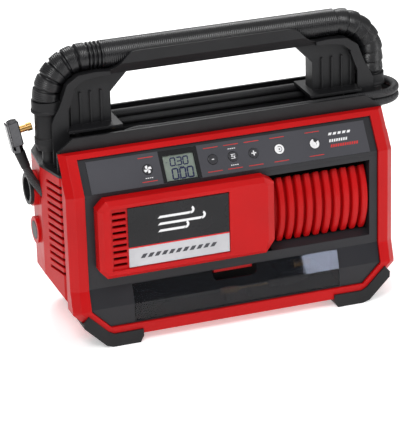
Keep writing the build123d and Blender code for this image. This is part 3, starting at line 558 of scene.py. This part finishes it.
def hose_length():
    bends = HOSE_BEND * math.pi
    flat = HOSE_RIGHT - HOSE_LEFT - 2 * HOSE_BEND
    return bends + flat + HOSE_LEFT_LOW - HOSE_RIGHT_LOW


def envelope(kind, share):
    """Outer radius at a share of one section: folds pinch at both ends, laps flare towards one end."""
    near_end = min(share, 1 - share)
    if kind == "fold":
        return HOSE_CREST - 2.6 * max(0.0, 1 - near_end * 7)
    if kind == "ring":
        return HOSE_CREST - 2.9 * max(0.0, 1 - near_end * 3.4)
    if kind == "lap":
        return HOSE_CREST - 1.7 * (1 - share) ** 2 - 1.2 * max(0.0, 1 - (1 - share) * 14)
    return HOSE_CREST


def rib_rings():
    """(length, radius, tilt) of each ring of the corrugated wall."""
    rings = []
    end = hose_length() - 0.4
    start = 0.0
    for kind, length, section, pitch in STRETCHES:
        stop = min(start + length, end)
        lean = 0.07 if kind in ("fold", "lap") else 0.015
        depth = GROOVE_DEPTH[kind]
        step = pitch / (8 if kind == "ring" else 4)
        count = int((stop - start) / step)
        for k in range(count):
            here = k * step
            number, share = divmod(here / section, 1.0)
            groove = depth if k % 4 in (2, 3) else 0.0
            tilt = lean * math.sin(number * 2.3 + 0.6) if kind != "fine" else lean
            rings.append((start + here, envelope(kind, share) - groove, tilt))
        start = stop
    return rings


def corrugated_hose():
    sides = 44
    verts, faces = [], []
    for s, radius, tilt in rib_rings():
        for k in range(sides):
            angle = 2 * math.pi * k / sides
            out, aside = radius * math.cos(angle), radius * math.sin(angle)
            (x, z), (dx, dz) = hose_place(min(max(s + tilt * aside, 0.0), hose_length()))
            verts.append(Vector((x - dz * out, aside, z + dx * out)) * MM)
    rows = len(verts) // sides
    for row in range(rows - 1):
        for k in range(sides):
            j = (k + 1) % sides
            faces.append([row * sides + k, row * sides + j, (row + 1) * sides + j, (row + 1) * sides + k])
    hose = mesh_object("corrugated_hose", verts, faces, HOSE, "housing")
    for face in hose.data.polygons:
        face.use_smooth = True
    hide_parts("air_hose")
    return hose


# ---------------------------------------------------------------- pressure hose


def half_turn(centre_x, start, z_from, z_to):
    """Seven points of a clockwise half turn round a post, from the start angle in degrees."""
    points = []
    for k in range(7):
        angle = math.radians(start - 180 * k / 6)
        z = z_from + (z_to - z_from) * k / 6
        points.append((centre_x + COIL_R * math.cos(angle), COIL_R * math.sin(angle), z))
    return points


def straight(x_from, x_to, y, z, count):
    """Points between two ends, both left out."""
    return [(x_from + (x_to - x_from) * k / (count + 1), y, z) for k in range(1, count + 1)]


def cord_points():
    points = [(OUTLET_X, COIL_R, COIL_LOW)]
    points += straight(OUTLET_X, COIL_RIGHT, COIL_R, COIL_LOW, 6)
    points += half_turn(COIL_RIGHT, 90, COIL_LOW, COIL_LOW)
    points += straight(COIL_RIGHT, COIL_LEFT, -COIL_R, COIL_LOW, 6)
    points += half_turn(COIL_LEFT, 270, COIL_LOW, COIL_HIGH)
    points += straight(COIL_LEFT, COIL_RIGHT, COIL_R, COIL_HIGH, 6)
    points += half_turn(COIL_RIGHT, 90, COIL_HIGH, COIL_HIGH)
    points += straight(COIL_RIGHT, TAIL[0][0], -COIL_R, COIL_HIGH, 5)
    return points + TAIL


def pressure_hose():
    curve = bpy.data.curves.new("pressure_hose", "CURVE")
    curve.dimensions = "3D"
    curve.bevel_depth = CORD_R * MM
    curve.bevel_resolution = 6
    curve.use_fill_caps = True
    curve.resolution_u = 8
    spline = curve.splines.new("NURBS")
    points = cord_points()
    spline.points.add(len(points) - 1)
    for point, place in zip(spline.points, points):
        point.co = (*(Vector(place) * MM), 1.0)
    spline.order_u = 3
    spline.use_endpoint_u = True
    hose = bpy.data.objects.new("pressure_hose", curve)
    bpy.context.collection.objects.link(hose)
    curve.materials.append(BRAID)
    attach(hose, "housing")
    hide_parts("pressure_hose_coil", "pressure_hose_tail")
    return hose


# ---------------------------------------------------------------- stage


def studio():
    half = 4.0
    mesh = bpy.data.meshes.new("floor")
    corners = [(-half, -half, 0), (half, -half, 0), (half, half, 0), (-half, half, 0)]
    mesh.from_pydata(corners, [], [(0, 1, 2, 3)])
    floor = bpy.data.objects.new("floor", mesh)
    bpy.context.collection.objects.link(floor)
    made, tree, shader = new_material("pale_floor")
    coords = add(tree, "ShaderNodeTexCoord").outputs["Object"]
    soft = remap(tree, noise(tree, coords, 2.0, 2.0), 0.3, 0.7, 0.0, 1.0)
    tree.links.new(mixed(tree, soft, (0.90, 0.90, 0.90), (0.93, 0.93, 0.93)), shader.inputs["Base Color"])
    shader.inputs["Roughness"].default_value = 0.75
    shader.inputs["Emission Color"].default_value = (1, 1, 1, 1)
    shader.inputs["Emission Strength"].default_value = FLOOR_GLOW
    mesh.materials.append(made)


def sky():
    """Soft room: bright overhead, darker towards the horizon."""
    world = bpy.data.worlds.new("studio")
    world.use_nodes = True
    tree = world.node_tree
    split = add(tree, "ShaderNodeSeparateXYZ")
    tree.links.new(add(tree, "ShaderNodeTexCoord").outputs["Generated"], split.inputs["Vector"])
    height = remap(tree, split.outputs["Z"], 0.0, 0.9, 0.0, 1.0)
    shade = mixed(tree, height, (0.22, 0.22, 0.23), (1.0, 1.0, 1.0))
    tree.links.new(shade, tree.nodes["Background"].inputs["Color"])
    tree.nodes["Background"].inputs["Strength"].default_value = 0.62
    bpy.context.scene.world = world
    bpy.context.scene.view_settings.view_transform = "Standard"


def area_light(name, place, target, size, power, colour=(1.0, 1.0, 1.0)):
    lamp = bpy.data.lights.new(name, "AREA")
    lamp.size = size
    lamp.energy = power
    lamp.color = colour
    light = bpy.data.objects.new(name, lamp)
    light.location = place
    light.rotation_euler = (Vector(target) - Vector(place)).to_track_quat("-Z", "Y").to_euler()
    bpy.context.collection.objects.link(light)


def lights():
    middle = (0.0, 0.0, 0.15)
    area_light("key", (-0.8, -1.2, 1.8), middle, 0.9, 24)
    area_light("fill", (1.5, -1.0, 0.9), middle, 0.9, 9)
    area_light("rim", (0.2, 1.3, 1.5), middle, 0.9, 18)
    area_light("window", (0.667, -1.6, 0.36), (0.1, -0.07, 0.05), 0.07, 0.22, (0.72, 0.78, 1.0))


def camera():
    yaw, pitch, roll = (math.radians(a) for a in (CAMERA_YAW, CAMERA_PITCH, CAMERA_ROLL))
    ahead = Vector((math.sin(yaw) * math.cos(pitch), math.cos(yaw) * math.cos(pitch), -math.sin(pitch)))
    right = Vector((math.cos(yaw), -math.sin(yaw), 0))
    up = right.cross(ahead)
    turned_right = right * math.cos(roll) + up * math.sin(roll)
    turned_up = up * math.cos(roll) - right * math.sin(roll)
    lens = bpy.data.cameras.new("camera")
    lens.lens = CAMERA_LENS
    lens.sensor_width = 36
    eye = bpy.data.objects.new("camera", lens)
    axes = Matrix((turned_right, turned_up, -ahead)).transposed()
    eye.matrix_world = Matrix.Translation(Vector(CAMERA_AT)) @ axes.to_4x4()
    bpy.context.collection.objects.link(eye)
    bpy.context.scene.camera = eye


paint_nodes()
key_marks()
foil_marks()
display_marks()
plate_marks()
corrugated_hose()
pressure_hose()
studio()
sky()
lights()
camera()
